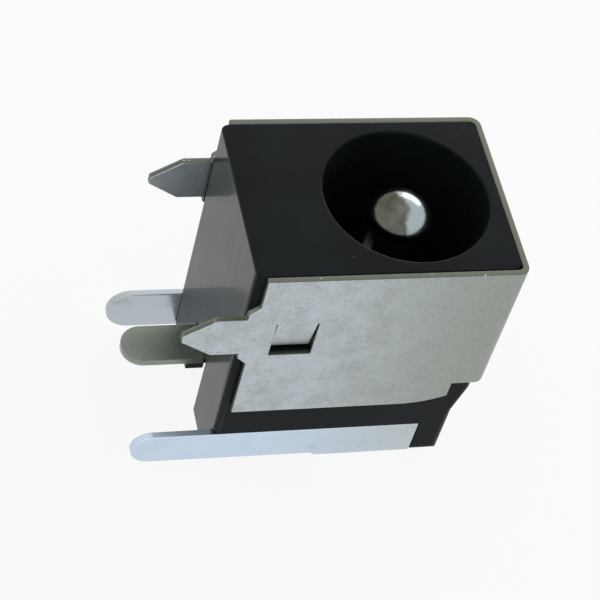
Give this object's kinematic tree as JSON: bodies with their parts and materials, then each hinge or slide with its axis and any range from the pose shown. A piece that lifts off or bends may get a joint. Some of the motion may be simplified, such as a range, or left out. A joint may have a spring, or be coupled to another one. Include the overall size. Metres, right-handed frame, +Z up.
{
  "type": "dc barrel jack",
  "caption": "Board-mount DC power socket: moulded housing in a folded shield, with a riveted centre pin, a sleeve spring and a switch terminal.",
  "frame": {"origin": "centre of the line between the two shield legs, on the housing's board face", "axes": "+Z up, away from the board; -Y out of the socket's mouth; +X towards the centre pin's terminal leg"},
  "size_m": [0.0078, 0.0121, 0.0135],
  "materials": {
    "black_plastic": "glossy moulded black plastic",
    "tinned_sheet": "satin tin plate with a fine mottle",
    "nickel_pin": "nickel-plated brass",
    "tinned_terminal": "bright tin-plated brass",
    "tinned_spring": "tin-plated spring bronze"
  },
  "bodies": {
    "root": {"housing": "black_plastic", "shield": "tinned_sheet", "centre_pin": "nickel_pin", "pin_terminal": "tinned_terminal", "sleeve_spring": "tinned_spring", "switch_terminal": "tinned_terminal"}
  },
  "joints": []
}
